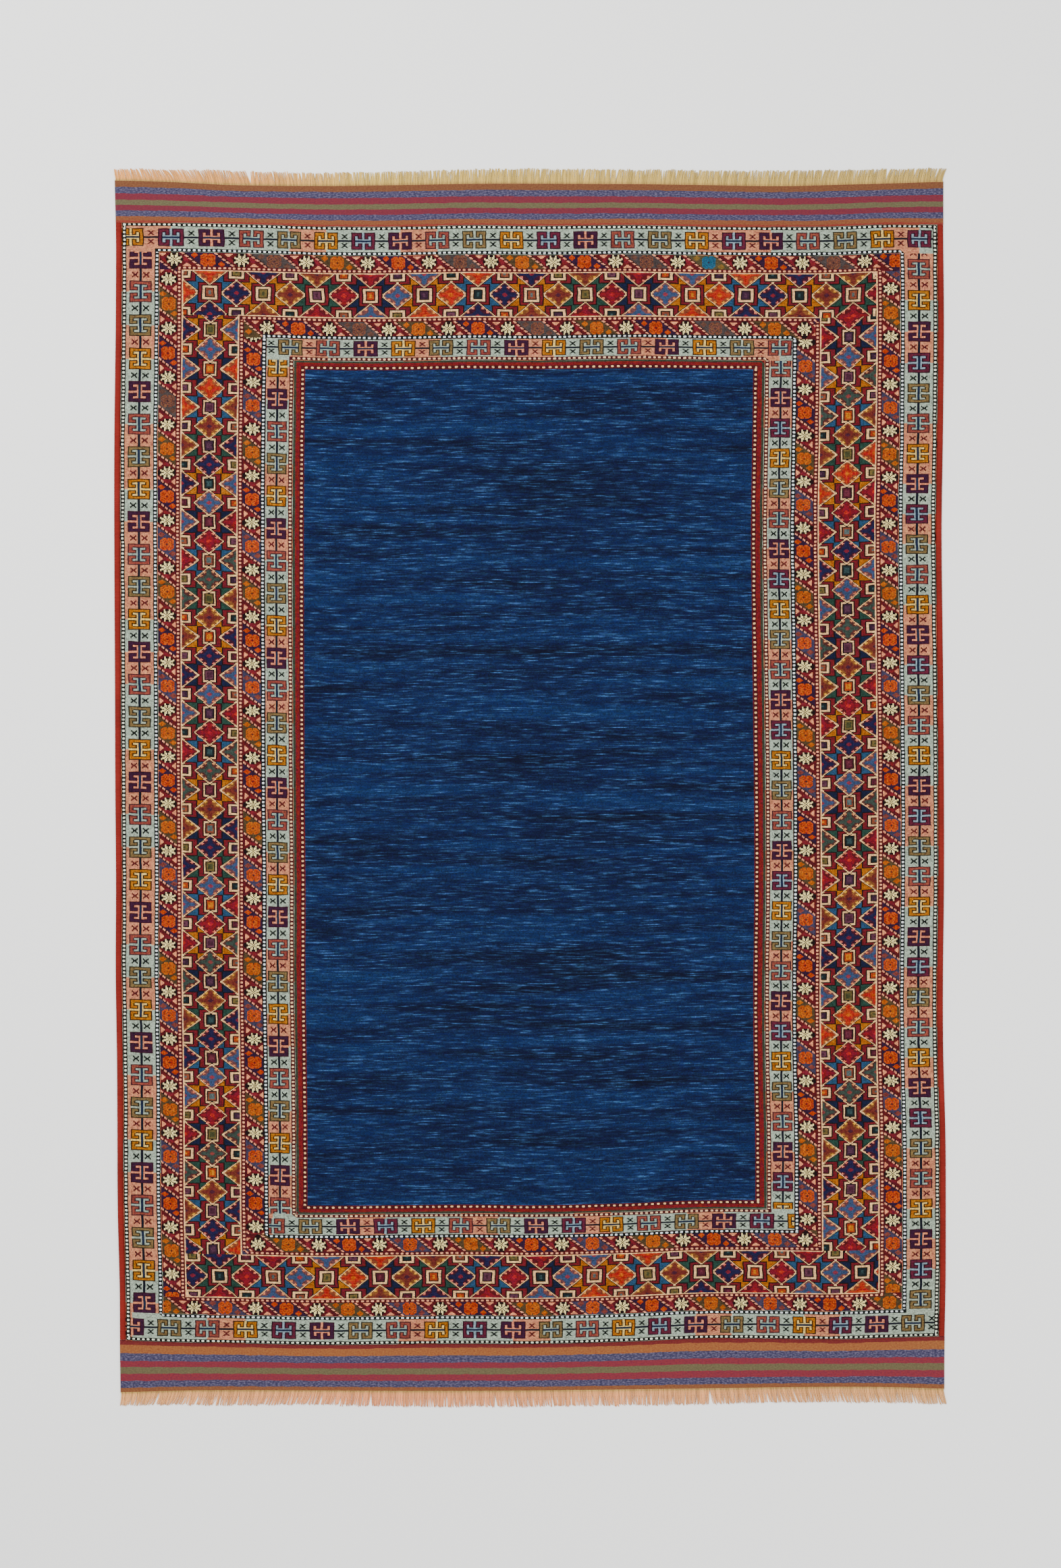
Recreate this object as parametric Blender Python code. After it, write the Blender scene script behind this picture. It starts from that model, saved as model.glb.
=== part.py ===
"""Knotted pile rug with flat-woven ends, overcast sides and warp fringes, lying flat.

Metres, +Z up. The origin is on the floor under the middle of the rug, +Y runs along the
warps to one fringed end, and +X runs across them to one overcast side.
"""
import bmesh
import bpy
import numpy as np

MM = 0.001

# Driving dimensions
PILE_THICKNESS = 9.0 * MM
PILE_UNEVENNESS = 0.6 * MM
UNEVEN_WAVES_X, UNEVEN_START_X = 7.0, 2.0  # radians a metre, then radians
UNEVEN_WAVES_Y, UNEVEN_START_Y = 5.0, 1.0
WOVEN_END_THICKNESS = 3.0 * MM
PILE_SHOULDER = 4.0 * MM
SELVEDGE_WIDTH = 15.0 * MM
SELVEDGE_THICKNESS = 7.0 * MM
SELVEDGE_WALL_SHARE = 0.35
SELVEDGE_ARCH_POINTS = 6
FRINGE_STRIP_WIDTH = 4.0 * MM
FRINGE_THICKNESS = 3.0 * MM
FRINGE_TIP_THICKNESS = 1.6 * MM
GAP = 0.3 * MM
FRINGE_PARTING = 0.5 * MM

# Where the cloth's four cross lines lie along the warps before they waver, in millimetres
LINE_PLACE = {"top_root": 1458.0, "top_pile": 1358.0, "bottom_pile": -1338.0, "bottom_root": -1454.0}

# The two long edges of the rug, in millimetres
EDGE_COLUMNS = ("y", "left", "right")
EDGE_ROWS = (
    (1470.0, -1005.0, 998.0),
    (1380.0, -1000.0, 997.0),
    (1121.0, -1001.0, 1000.0),
    (827.0, -1005.0, 997.0),
    (632.0, -1005.0, 993.0),
    (240.0, -1003.0, 998.0),
    (-53.0, -1002.0, 1000.0),
    (-249.0, -1000.0, 1000.0),
    (-444.0, -1002.0, 997.0),
    (-640.0, -998.0, 997.0),
    (-835.0, -997.0, 1004.0),
    (-1031.0, -997.0, 1004.0),
    (-1227.0, -990.0, 1004.0),
    (-1324.0, -992.0, 1000.0),
    (-1470.0, -988.0, 1000.0),
)

# How far each cross line wavers towards +Y across the rug, in millimetres
LINE_COLUMNS = ("x", "top_root", "top_pile", "bottom_pile", "bottom_root")
LINE_ROWS = (
    (-1000.0, 9.0, 7.0, 5.0, -7.0),
    (-857.0, 5.0, 6.0, -1.0, -2.0),
    (-726.0, -3.0, 4.0, -3.0, -1.0),
    (-506.0, -5.0, -3.0, -8.0, -2.0),
    (-341.0, -3.0, -4.0, -6.0, -3.0),
    (-136.0, 1.0, 1.0, -4.0, -3.0),
    (0.0, 1.0, -2.0, -6.0, -2.0),
    (257.0, 0.0, 1.0, 1.0, 1.0),
    (402.0, -2.0, -3.0, 9.0, 3.0),
    (610.0, -6.0, -4.0, 8.0, 6.0),
    (729.0, -2.0, -4.0, 5.0, 7.0),
    (858.0, 1.0, 3.0, 10.0, 7.0),
    (1000.0, 6.0, 1.0, 14.0, 2.0),
)

# How the fringe lies: the sideways lean of the tips and the length, in millimetres
FRINGE_COLUMNS = ("x", "top_lean", "top_length", "bottom_lean", "bottom_length")
FRINGE_ROWS = (
    (-1000.0, -4.0, 29.0, -3.0, 32.0),
    (-860.0, -16.0, 30.0, -13.0, 34.0),
    (-740.0, -9.0, 36.0, -8.0, 38.0),
    (-550.0, -3.0, 32.0, -10.0, 34.0),
    (-350.0, 0.0, 33.0, -2.0, 38.0),
    (0.0, 2.0, 36.0, 4.0, 39.0),
    (400.0, 5.0, 35.0, 1.0, 39.0),
    (620.0, 5.0, 38.0, 8.0, 37.0),
    (1000.0, 8.0, 33.0, 8.0, 38.0),
)

PILE_ROWS = 26
WOVEN_END_ROWS = 2
LOCKS_PER_END = 140
LOCK_LENGTH_SPREAD = 2.5 * MM
LOCK_LEAN_SPREAD = 1.2 * MM
LOCK_MID_PLACE = 0.5
LOCK_MID_LEAN_SHARE = 0.4
LOCK_MID_WIDTH_SHARE = 0.72
LOCK_TIP_WIDTH_SHARE = 0.50
LOCK_SEED = {"top": 11, "bottom": 23}
FACING_OUT = 0.7

BLUE_WOOL = (0.010, 0.030, 0.085, 1.0)
RED_WOOL = (0.290, 0.018, 0.007, 1.0)
UNDYED_WARP = (0.560, 0.420, 0.270, 1.0)
WOOL_ROUGHNESS = 0.95


def column(rows, names, wanted):
    """One named column of a table, as an array."""
    return np.array([row[names.index(wanted)] for row in rows])


def edge_x(side, y):
    """The x of the rug's left or right edge at a y, straight between the table's rows."""
    places = column(EDGE_ROWS, EDGE_COLUMNS, "y")[::-1] * MM
    return float(np.interp(y, places, column(EDGE_ROWS, EDGE_COLUMNS, side)[::-1] * MM))


def line_y(line, x):
    """The y of one of the four cross lines at an x."""
    places = column(LINE_ROWS, LINE_COLUMNS, "x") * MM
    waver = np.interp(x, places, column(LINE_ROWS, LINE_COLUMNS, line) * MM)
    return float(LINE_PLACE[line] * MM + waver)


def fringe_value(name, x):
    """The lean or the length of the fringe at an x."""
    places = column(FRINGE_ROWS, FRINGE_COLUMNS, "x") * MM
    return float(np.interp(x, places, column(FRINGE_ROWS, FRINGE_COLUMNS, name) * MM))


def clear_scene():
    """Start from an empty scene, whatever file this runs in."""
    for thing in list(bpy.data.objects):
        bpy.data.objects.remove(thing)


def plain_material(name, colour):
    """A Principled material of one colour, as dull as wool."""
    material = bpy.data.materials.new(name)
    material.use_nodes = True
    shader = material.node_tree.nodes["Principled BSDF"]
    shader.inputs["Base Color"].default_value = colour
    shader.inputs["Roughness"].default_value = WOOL_ROUGHNESS
    shader.inputs["Metallic"].default_value = 0.0
    material.diffuse_color = colour
    return material


def add_object(name, bm, material, collection):
    """Close a modelled shape into one named object with its faces pointing out."""
    bmesh.ops.recalc_face_normals(bm, faces=bm.faces)
    mesh = bpy.data.meshes.new(name)
    bm.to_mesh(mesh)
    bm.free()
    mesh.materials.append(material)
    piece = bpy.data.objects.new(name, mesh)
    collection.objects.link(piece)
    return piece


def extrude_to(bm, face, points):
    """Extrude one face and move the new one's corners, matched by order, to the points."""
    made = bmesh.ops.extrude_discrete_faces(bm, faces=[face])
    end = made["faces"][0]
    for corner, point in zip(end.verts, points(list(end.verts))):
        corner.co = point
    return end


def between(low, high, share, x):
    """A y at a share of the way from one cross line to the next, at an x."""
    return line_y(low, x) * (1.0 - share) + line_y(high, x) * share


def nominal_y(low, high, share):
    """The same without the lines' waver, which is where the side edges are read."""
    return (LINE_PLACE[low] * (1.0 - share) + LINE_PLACE[high] * share) * MM


def column_x(nominal):
    """The grid's columns at a y: both edges, both inner edges, and the cross table's places."""
    left, right = edge_x("left", nominal), edge_x("right", nominal)
    inset = SELVEDGE_WIDTH + GAP
    places = column(LINE_ROWS, LINE_COLUMNS, "x")[1:-1] * MM
    return [left, left + inset, *places, right - inset, right]


def pile_row(share):
    """One row of points across the pile, drawn in from the woven ends by its shoulder."""
    nominal = nominal_y("bottom_pile", "top_pile", share)
    shoulder = PILE_SHOULDER * (1.0 - 2.0 * share)
    row = []
    for x in column_x(nominal):
        y = between("bottom_pile", "top_pile", share, x) + shoulder
        wave = np.sin(UNEVEN_WAVES_X * x + UNEVEN_START_X) * np.sin(UNEVEN_WAVES_Y * y + UNEVEN_START_Y)
        row.append((x, y, PILE_THICKNESS + PILE_UNEVENNESS * wave))
    return row


def woven_row(low, high, share):
    """One row of points across a flat-woven end, between two cross lines."""
    xs = column_x(nominal_y(low, high, share))
    return [(x, between(low, high, share, x), WOVEN_END_THICKNESS) for x in xs]


def make_rug_body(collection):
    """The cloth: a grid laid between the edges and cross lines, lifted, then closed below.

    The knotted part stands a pile's height above the flat-woven ends, and it is narrower
    by the two overcast sides, which lie in the notches that are cut from the grid.
    """
    woven_shares = np.linspace(0.0, 1.0, WOVEN_END_ROWS + 1)
    rows = [woven_row("bottom_root", "bottom_pile", share) for share in woven_shares]
    rows += [pile_row(share) for share in np.linspace(0.0, 1.0, PILE_ROWS + 1)]
    rows += [woven_row("top_pile", "top_root", share) for share in woven_shares]
    across = len(rows[0])
    bm = bmesh.new()
    bmesh.ops.create_grid(bm, x_segments=across - 1, y_segments=len(rows) - 1, size=1.0)
    order = sorted(bm.verts, key=lambda vert: (round(vert.co.y, 5), round(vert.co.x, 5)))
    notch = []
    for number, vert in enumerate(order):
        row, place = divmod(number, across)
        vert.co = rows[row][place]
        in_pile = WOVEN_END_ROWS < row < len(rows) - 1 - WOVEN_END_ROWS
        if in_pile and place in (0, across - 1):
            notch.append(vert)
    bmesh.ops.delete(bm, geom=notch, context="VERTS")
    made = bmesh.ops.extrude_face_region(bm, geom=list(bm.faces))
    for item in made["geom"]:
        if isinstance(item, bmesh.types.BMVert):
            item.co.z = 0.0
    return add_object("rug_body", bm, plain_material("blue_wool_pile", BLUE_WOOL), collection)


def selvedge_profile():
    """The overcast edge cut across: flat below, round above; shares of width, then height."""
    rise = 1.0 - SELVEDGE_WALL_SHARE
    turn = np.linspace(0.0, np.pi, SELVEDGE_ARCH_POINTS)
    arch = [(0.5 - 0.5 * np.cos(a), SELVEDGE_WALL_SHARE + rise * np.sin(a)) for a in turn]
    return [(0.0, 0.0)] + arch + [(1.0, 0.0)]


def make_selvedge(side, collection):
    """One overcast side: its cut carried along the pile's edge, from notch end to notch end."""
    inner, outward = (1, -1.0) if side == "left" else (-2, 1.0)
    outer = 0 if side == "left" else -1
    path = [pile_row(share)[inner][:2] for share in np.linspace(0.0, 1.0, PILE_ROWS + 1)]
    bottom = woven_row("bottom_root", "bottom_pile", 1.0)
    top = woven_row("top_pile", "top_root", 0.0)
    start = max(bottom[inner][1], bottom[outer][1]) + GAP
    stop = min(top[inner][1], top[outer][1]) - GAP
    path = [(path[0][0], start)] + path + [(path[-1][0], stop)]

    def station(x, y):
        """The cut's corners where the pile's edge passes a point."""
        return [(x + outward * (GAP + SELVEDGE_WIDTH * share), y, SELVEDGE_THICKNESS * up)
                for share, up in selvedge_profile()]

    bm = bmesh.new()
    end = bm.faces.new([bm.verts.new(point) for point in station(*path[0])])
    for place in path[1:]:
        end = extrude_to(bm, end, lambda corners, points=station(*place): points)
    bmesh.ops.contextual_create(bm, geom=[edge for edge in bm.edges if edge.is_boundary])
    material = plain_material(f"red_overcast_wool_{side}", RED_WOOL)
    return add_object(f"selvedge_{side}", bm, material, collection)


def make_fringe(end_name, outward, collection):
    """One end's fringe: a twined strip beside the cloth, with a lock drawn from each step."""
    line = f"{end_name}_root"
    place = LINE_PLACE[line] * MM
    steps = np.linspace(edge_x("left", place), edge_x("right", place), LOCKS_PER_END + 1)
    pitch = steps[1] - steps[0]
    random = np.random.default_rng(LOCK_SEED[end_name])

    def strip_cut(x):
        """The strip's four corners at an x: near the cloth first, then the outer side."""
        near = line_y(line, x) + outward * FRINGE_PARTING
        far = near + outward * FRINGE_STRIP_WIDTH
        return [(x, near, 0.0), (x, far, 0.0), (x, far, FRINGE_THICKNESS), (x, near, FRINGE_THICKNESS)]

    def lock_points(middle, half, y, height):
        """A mover that sets a lock's end face, flat on the floor, about a middle x."""
        def moved(corners):
            centre = sum(corner.co.x for corner in corners) / len(corners)
            return [(middle + (half if corner.co.x > centre else -half), y,
                     height if corner.co.z > 0.5 * FRINGE_TIP_THICKNESS else 0.0)
                    for corner in corners]
        return moved

    bm = bmesh.new()
    end = bm.faces.new([bm.verts.new(point) for point in strip_cut(steps[0])])
    for x in steps[1:]:
        end = extrude_to(bm, end, lambda corners, points=strip_cut(x): points)
    bmesh.ops.contextual_create(bm, geom=[edge for edge in bm.edges if edge.is_boundary])
    bmesh.ops.recalc_face_normals(bm, faces=bm.faces)
    roots = sorted((face for face in bm.faces if face.normal.y * outward > FACING_OUT),
                   key=lambda face: face.calc_center_median().x)
    mid_height = 0.5 * (FRINGE_THICKNESS + FRINGE_TIP_THICKNESS)
    for root in roots:
        centre = root.calc_center_median()
        reach = fringe_value(f"{end_name}_length", centre.x) - FRINGE_STRIP_WIDTH
        reach += LOCK_LENGTH_SPREAD * random.uniform(-1.0, 1.0)
        lean = fringe_value(f"{end_name}_lean", centre.x)
        lean += LOCK_LEAN_SPREAD * random.uniform(-1.0, 1.0)
        half = 0.5 * pitch
        mid_x, mid_y = centre.x + LOCK_MID_LEAN_SHARE * lean, centre.y + outward * LOCK_MID_PLACE * reach
        tip_x, tip_y = centre.x + lean, centre.y + outward * reach
        middle = extrude_to(bm, root, lock_points(mid_x, LOCK_MID_WIDTH_SHARE * half, mid_y, mid_height))
        extrude_to(bm, middle, lock_points(tip_x, LOCK_TIP_WIDTH_SHARE * half, tip_y, FRINGE_TIP_THICKNESS))
    material = plain_material(f"undyed_warp_{end_name}", UNDYED_WARP)
    return add_object(f"fringe_{end_name}", bm, material, collection)


clear_scene()
rug = bpy.data.collections.new("afghan_rug")
bpy.context.scene.collection.children.link(rug)
make_rug_body(rug)
for side_name in ("left", "right"):
    make_selvedge(side_name, rug)
make_fringe("top", 1.0, rug)
make_fringe("bottom", -1.0, rug)
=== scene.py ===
"""Looks of a knotted pile rug with flat-woven ends, overcast sides and warp fringes."""

import bpy
import numpy as np
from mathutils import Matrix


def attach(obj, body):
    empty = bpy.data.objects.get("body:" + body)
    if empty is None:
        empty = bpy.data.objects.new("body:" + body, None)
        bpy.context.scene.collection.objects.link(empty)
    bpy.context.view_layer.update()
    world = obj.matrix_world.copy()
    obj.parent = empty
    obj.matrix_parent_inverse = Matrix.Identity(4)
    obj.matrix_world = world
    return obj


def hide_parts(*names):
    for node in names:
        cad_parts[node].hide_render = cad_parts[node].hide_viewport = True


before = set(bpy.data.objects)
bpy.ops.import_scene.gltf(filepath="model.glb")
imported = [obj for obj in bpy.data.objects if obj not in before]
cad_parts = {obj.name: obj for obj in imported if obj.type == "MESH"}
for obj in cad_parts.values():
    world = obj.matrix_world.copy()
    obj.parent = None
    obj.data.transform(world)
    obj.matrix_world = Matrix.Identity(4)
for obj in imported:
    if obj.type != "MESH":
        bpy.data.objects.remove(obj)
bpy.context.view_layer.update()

# Camera, floor and light: the rug lies on a plain pale floor and is seen from straight above,
# as evenly lit as in the photograph.
METRES_PER_PIXEL = 0.00163
PHOTO_HEIGHT = 2324
PHOTO_CENTRE = (786.0, 1162.0)
RUG_CENTRE = (785.5, 1167.5)
CAMERA_HEIGHT = 10.5
SENSOR_MM = 36.0

camera = bpy.data.cameras.new("camera")
camera.sensor_width = SENSOR_MM
camera.lens = SENSOR_MM * CAMERA_HEIGHT / (PHOTO_HEIGHT * METRES_PER_PIXEL)
camera.clip_end = 50.0
camera_object = bpy.data.objects.new("camera", camera)
camera_object.location = ((PHOTO_CENTRE[0] - RUG_CENTRE[0]) * METRES_PER_PIXEL,
                          (RUG_CENTRE[1] - PHOTO_CENTRE[1]) * METRES_PER_PIXEL, CAMERA_HEIGHT)
bpy.context.scene.collection.objects.link(camera_object)
bpy.context.scene.camera = camera_object


def linear(hex_colour):
    """An sRGB hex colour as linear red, green, blue and alpha."""
    parts = np.array([int(hex_colour[k:k + 2], 16) for k in (0, 2, 4)]) / 255.0
    parts = np.where(parts <= 0.04045, parts / 12.92, ((parts + 0.055) / 1.055) ** 2.4)
    return (*parts.tolist(), 1.0)


def add_node(tree, kind, feeds=(), stops=(), **settings):
    """Add one node with its settings, feed its live inputs in order or by name, give its output.

    A feed is a socket to link, a number or colour to set, or None to leave as it is. Stops
    are a ramp's places and hex colours or grey values.
    """
    node = tree.nodes.new(kind)
    for name, value in settings.items():
        setattr(node, name, value)
    if stops:
        ramp = node.color_ramp
        ramp.interpolation = "CONSTANT" if len(stops[0]) == 2 else stops[0][2]
        for place, stop in enumerate(stops):
            element = ramp.elements[place] if place < 2 else ramp.elements.new(stop[0])
            element.position = stop[0]
            value = stop[1]
            element.color = linear(value) if isinstance(value, str) else (value, value, value, 1.0)
        if len(stops) < 2:
            ramp.elements.remove(ramp.elements[1])
    live = [socket for socket in node.inputs if socket.enabled]
    pairs = feeds.items() if isinstance(feeds, dict) else enumerate(feeds)
    for place, feed in pairs:
        socket = node.inputs[place] if isinstance(place, str) else live[place]
        if isinstance(feed, bpy.types.NodeSocket):
            tree.links.new(feed, socket)
        elif feed is not None:
            socket.default_value = linear(feed) if isinstance(feed, str) else feed
    return next(socket for socket in node.outputs if socket.enabled)


def new_material(name):
    """An empty node material and its output node."""
    material = bpy.data.materials.new(name)
    material.use_nodes = True
    material.node_tree.nodes.clear()
    output = material.node_tree.nodes.new("ShaderNodeOutputMaterial")
    return material, material.node_tree, output


def new_piece(name, points, faces, material, smooth=False):
    """A mesh object from point and face arrays, linked into the scene."""
    mesh = bpy.data.meshes.new(name)
    mesh.from_pydata(points.tolist(), [], faces if isinstance(faces, list) else faces.tolist())
    mesh.polygons.foreach_set("use_smooth", [smooth] * len(mesh.polygons))
    mesh.materials.append(material)
    piece = bpy.data.objects.new(name, mesh)
    bpy.context.scene.collection.objects.link(piece)
    return piece


FLOOR_SIZE = 30.0
FLOOR_DROP = 0.0004
floor_material, tree, output = new_material("pale_painted_floor")
floor_shader = add_node(tree, "ShaderNodeBsdfPrincipled", {"Base Color": "f7f7f5", "Roughness": 0.9})
tree.links.new(floor_shader, output.inputs["Surface"])
corners = np.array([[-1, -1], [1, -1], [1, 1], [-1, 1]]) * 0.5 * FLOOR_SIZE
floor = new_piece("floor", np.column_stack([corners, np.full(4, -FLOOR_DROP)]),
                  np.array([[0, 1, 2, 3]]), floor_material)

world = bpy.data.worlds.new("studio")
world.use_nodes = True
world.node_tree.nodes["Background"].inputs["Color"].default_value = (1.0, 1.0, 1.0, 1.0)
world.node_tree.nodes["Background"].inputs["Strength"].default_value = 1.2
bpy.context.scene.world = world
for lamp_name, lamp_place, lamp_size, lamp_power in (
        ("key", (-2.2, 2.6, 4.5), 3.0, 300.0), ("fill", (2.8, -2.0, 4.5), 4.0, 150.0)):
    lamp = bpy.data.lights.new(lamp_name, "AREA")
    lamp.size, lamp.energy = lamp_size, lamp_power
    lamp_object = bpy.data.objects.new(lamp_name, lamp)
    lamp_object.location = lamp_place
    aim = -np.array(lamp_place)
    lamp_object.rotation_euler = (np.arctan2(np.hypot(*aim[:2]), -aim[2]), 0.0,
                                  np.arctan2(aim[1], aim[0]) - 0.5 * np.pi)
    bpy.context.scene.collection.objects.link(lamp_object)

# The ground cloth: warps and wefts of undyed wool, one sheet from fringe to fringe, beaten
# tight. The knots stand on it, so only its underside and its thin edge show.
MM = 0.001
GAP = 0.3 * MM
SELVEDGE_WIDTH = 15.0 * MM
LINE_PLACE = {"top_root": 1458.0, "top_pile": 1358.0, "bottom_pile": -1338.0, "bottom_root": -1454.0}
EDGE_COLUMNS = ("y", "left", "right")
EDGE_ROWS = (
    (1470.0, -1005.0, 998.0), (1380.0, -1000.0, 997.0), (1121.0, -1001.0, 1000.0),
    (827.0, -1005.0, 997.0), (632.0, -1005.0, 993.0), (240.0, -1003.0, 998.0),
    (-53.0, -1002.0, 1000.0), (-249.0, -1000.0, 1000.0), (-444.0, -1002.0, 997.0),
    (-640.0, -998.0, 997.0), (-835.0, -997.0, 1004.0), (-1031.0, -997.0, 1004.0),
    (-1227.0, -990.0, 1004.0), (-1324.0, -992.0, 1000.0), (-1470.0, -988.0, 1000.0),
)
LINE_COLUMNS = ("x", "top_root", "top_pile", "bottom_pile", "bottom_root")
LINE_ROWS = (
    (-1000.0, 9.0, 7.0, 5.0, -7.0), (-857.0, 5.0, 6.0, -1.0, -2.0), (-726.0, -3.0, 4.0, -3.0, -1.0),
    (-506.0, -5.0, -3.0, -8.0, -2.0), (-341.0, -3.0, -4.0, -6.0, -3.0), (-136.0, 1.0, 1.0, -4.0, -3.0),
    (0.0, 1.0, -2.0, -6.0, -2.0), (257.0, 0.0, 1.0, 1.0, 1.0), (402.0, -2.0, -3.0, 9.0, 3.0),
    (610.0, -6.0, -4.0, 8.0, 6.0), (729.0, -2.0, -4.0, 5.0, 7.0), (858.0, 1.0, 3.0, 10.0, 7.0),
    (1000.0, 6.0, 1.0, 14.0, 2.0),
)
FOUNDATION_THICKNESS = 1.5 * MM
SOFTENING_STEPS = 41


def table_line(rows, names, wanted, at):
    """A wavering line at places in metres: straight between a table's rows, then softened by
    two running means, as beaten wool has no corners."""
    rows = np.array(sorted(rows))
    dense = np.linspace(rows[0, 0], rows[-1, 0], 801)
    values = np.interp(dense, rows[:, 0], rows[:, names.index(wanted)])
    window = np.ones(SOFTENING_STEPS) / SOFTENING_STEPS
    for _ in range(2):
        padded = np.pad(values, SOFTENING_STEPS // 2, mode="edge")
        values = np.convolve(padded, window, mode="valid")
    return np.interp(np.asarray(at) / MM, dense, values) * MM


def edge_x(side, y):
    """The rug's left or right edge."""
    return table_line(EDGE_ROWS, EDGE_COLUMNS, side, y)


def line_y(line, x):
    """One of the four cross lines."""
    return LINE_PLACE[line] * MM + table_line(LINE_ROWS, LINE_COLUMNS, line, x)


def slab(name, x, y, top_z, bottom_z, keep, material):
    """A closed slab over the kept cells of a grid of points, given as row by column arrays.

    Rows run towards -Y and columns towards +X. Each kept cell gives a face above and one
    below, and each side of it with no kept neighbour gives a wall.
    """
    rows, columns = x.shape
    number = np.arange(rows * columns).reshape(rows, columns)
    tl, tr, bl, br = number[:-1, :-1], number[:-1, 1:], number[1:, :-1], number[1:, 1:]
    low = rows * columns
    framed = np.pad(keep, 1)
    parts = [np.stack([c[keep] for c in (tl, bl, br, tr)], 1),
             np.stack([c[keep] + low for c in (tl, tr, br, bl)], 1)]
    cells = [np.flatnonzero(keep.ravel())] * 2
    walls = ((tl, bl, framed[1:-1, :-2]), (bl, br, framed[2:, 1:-1]),
             (br, tr, framed[1:-1, 2:]), (tr, tl, framed[:-2, 1:-1]))
    for first, second, neighbour in walls:
        bare = keep & ~neighbour
        a, b = first[bare], second[bare]
        parts.append(np.stack([a, a + low, b + low, b], 1))
        cells.append(np.flatnonzero(bare.ravel()))
    faces, cells = np.concatenate(parts), np.concatenate(cells)
    points = np.concatenate([np.stack([x, y, top_z], -1).reshape(-1, 3),
                             np.stack([x, y, bottom_z], -1).reshape(-1, 3)])
    used, packed = np.unique(faces, return_inverse=True)
    piece = new_piece(name, points[used], packed.reshape(faces.shape), material)
    return piece, faces % low, cells


def give_map(piece, name, places):
    """Give a piece a UV map, one place for each face corner."""
    layer = piece.data.uv_layers.new(name=name)
    layer.data.foreach_set("uv", np.ascontiguousarray(places, dtype=np.float32).ravel())


def cloth_place(across, down):
    """The ground cloth's points: shares of the way across between the edges and down between
    the two fringe lines. Beside the pile it stops where the overcast edges begin."""
    nominal = (LINE_PLACE["top_root"] * (1.0 - down) + LINE_PLACE["bottom_root"] * down) * MM
    beside_pile = (nominal < LINE_PLACE["top_pile"] * MM) & (nominal > LINE_PLACE["bottom_pile"] * MM)
    inset = np.where(beside_pile, SELVEDGE_WIDTH, 0.0)
    x = (edge_x("left", nominal) + inset) * (1.0 - across) + (edge_x("right", nominal) - inset) * across
    return x, line_y("top_root", x) * (1.0 - down) + line_y("bottom_root", x) * down


# Undyed wool seen from the back, where each knot shows as a flat bead: dull, ribbed, cream.
material, tree, output = new_material("undyed_wool_ground_weave")
place = add_node(tree, "ShaderNodeTexCoord").node.outputs["Object"]
bead = add_node(tree, "ShaderNodeTexVoronoi", {"Vector": place, "Scale": 420.0})
colour = add_node(tree, "ShaderNodeMix", (bead, "5f2723", "b69a65"), data_type="RGBA")
bump = add_node(tree, "ShaderNodeBump", {"Height": bead, "Strength": 0.6, "Distance": 0.0006})
shader = add_node(tree, "ShaderNodeBsdfPrincipled",
                  {"Base Color": colour, "Roughness": 0.95, "Normal": bump, "Specular IOR Level": 0.12})
tree.links.new(shader, output.inputs["Surface"])
whole_drop = LINE_PLACE["top_root"] - LINE_PLACE["bottom_root"]
steps = [(LINE_PLACE["top_root"] - LINE_PLACE[line] + side) / whole_drop
         for line in ("top_pile", "bottom_pile") for side in (-1.0, 1.0)]
down_lines = np.unique(np.concatenate([np.linspace(0.0, 1.0, 61), steps]))
across, down = np.meshgrid(np.linspace(0.0, 1.0, 41), down_lines)
x, y = cloth_place(across, down)
foundation, _, _ = slab("ground_cloth", x, y, np.full_like(x, FOUNDATION_THICKNESS),
                        np.full_like(x, 0.1 * MM), np.ones(np.subtract(x.shape, 1), bool), material)
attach(foundation, "root")
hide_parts("rug_body")

# The pile: coloured wool knots in rows on the ground cloth, cut level at 9 mm. It is laid out
# in knots, 652 across and 1180 down, and made as rings, one for each band of the border.
KNOTS_ACROSS = 652
KNOTS_DOWN = 1180
BORDER_KNOTS = 147
PILE_TOP = 9.0 * MM
BORDER_SHARES_ACROSS = (0.2252, 0.7742)
BORDER_SHARES_DOWN = (0.1283, 0.8757)
PILE_UNEVENNESS = 0.6 * MM
EDGE_DROP = 3.5 * MM


def pile_place(i, j):
    """The place of a knot: i across from the left, j down from the top."""
    stops_i = (0, BORDER_KNOTS, KNOTS_ACROSS - BORDER_KNOTS, KNOTS_ACROSS)
    stops_j = (0, BORDER_KNOTS, KNOTS_DOWN - BORDER_KNOTS, KNOTS_DOWN)
    across = np.interp(i, stops_i, (0.0, *BORDER_SHARES_ACROSS, 1.0))
    down = np.interp(j, stops_j, (0.0, *BORDER_SHARES_DOWN, 1.0))
    nominal = (LINE_PLACE["top_pile"] * (1.0 - down) + LINE_PLACE["bottom_pile"] * down) * MM
    inset = SELVEDGE_WIDTH + GAP
    left, right = edge_x("left", nominal) + inset, edge_x("right", nominal) - inset
    inside = np.sin(np.pi * across) * np.sin(np.pi * down)
    x = left * (1.0 - across) + right * across
    x = x + 2.2 * MM * inside * np.sin(9.0 * down + 3.0 * across)
    y = line_y("top_pile", x) * (1.0 - down) + line_y("bottom_pile", x) * down
    y = y + 2.0 * MM * inside * np.sin(11.0 * across + 5.0 * down)
    return x, y


def pile_height(i, j, x, y):
    """The cut level: nearly flat, with the cloth's soft unevenness, rounded at the rim."""
    rim = np.minimum.reduce([i, KNOTS_ACROSS - i, j, KNOTS_DOWN - j])
    soft = np.sin(7.0 * x + 2.0) * np.sin(5.0 * y + 1.0)
    soft = soft + 0.45 * np.sin(31.0 * x + 4.0 * y) * np.sin(27.0 * y - 6.0 * x + 2.0)
    return PILE_TOP + PILE_UNEVENNESS * soft - EDGE_DROP * np.exp(-rim / 0.9)


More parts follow.
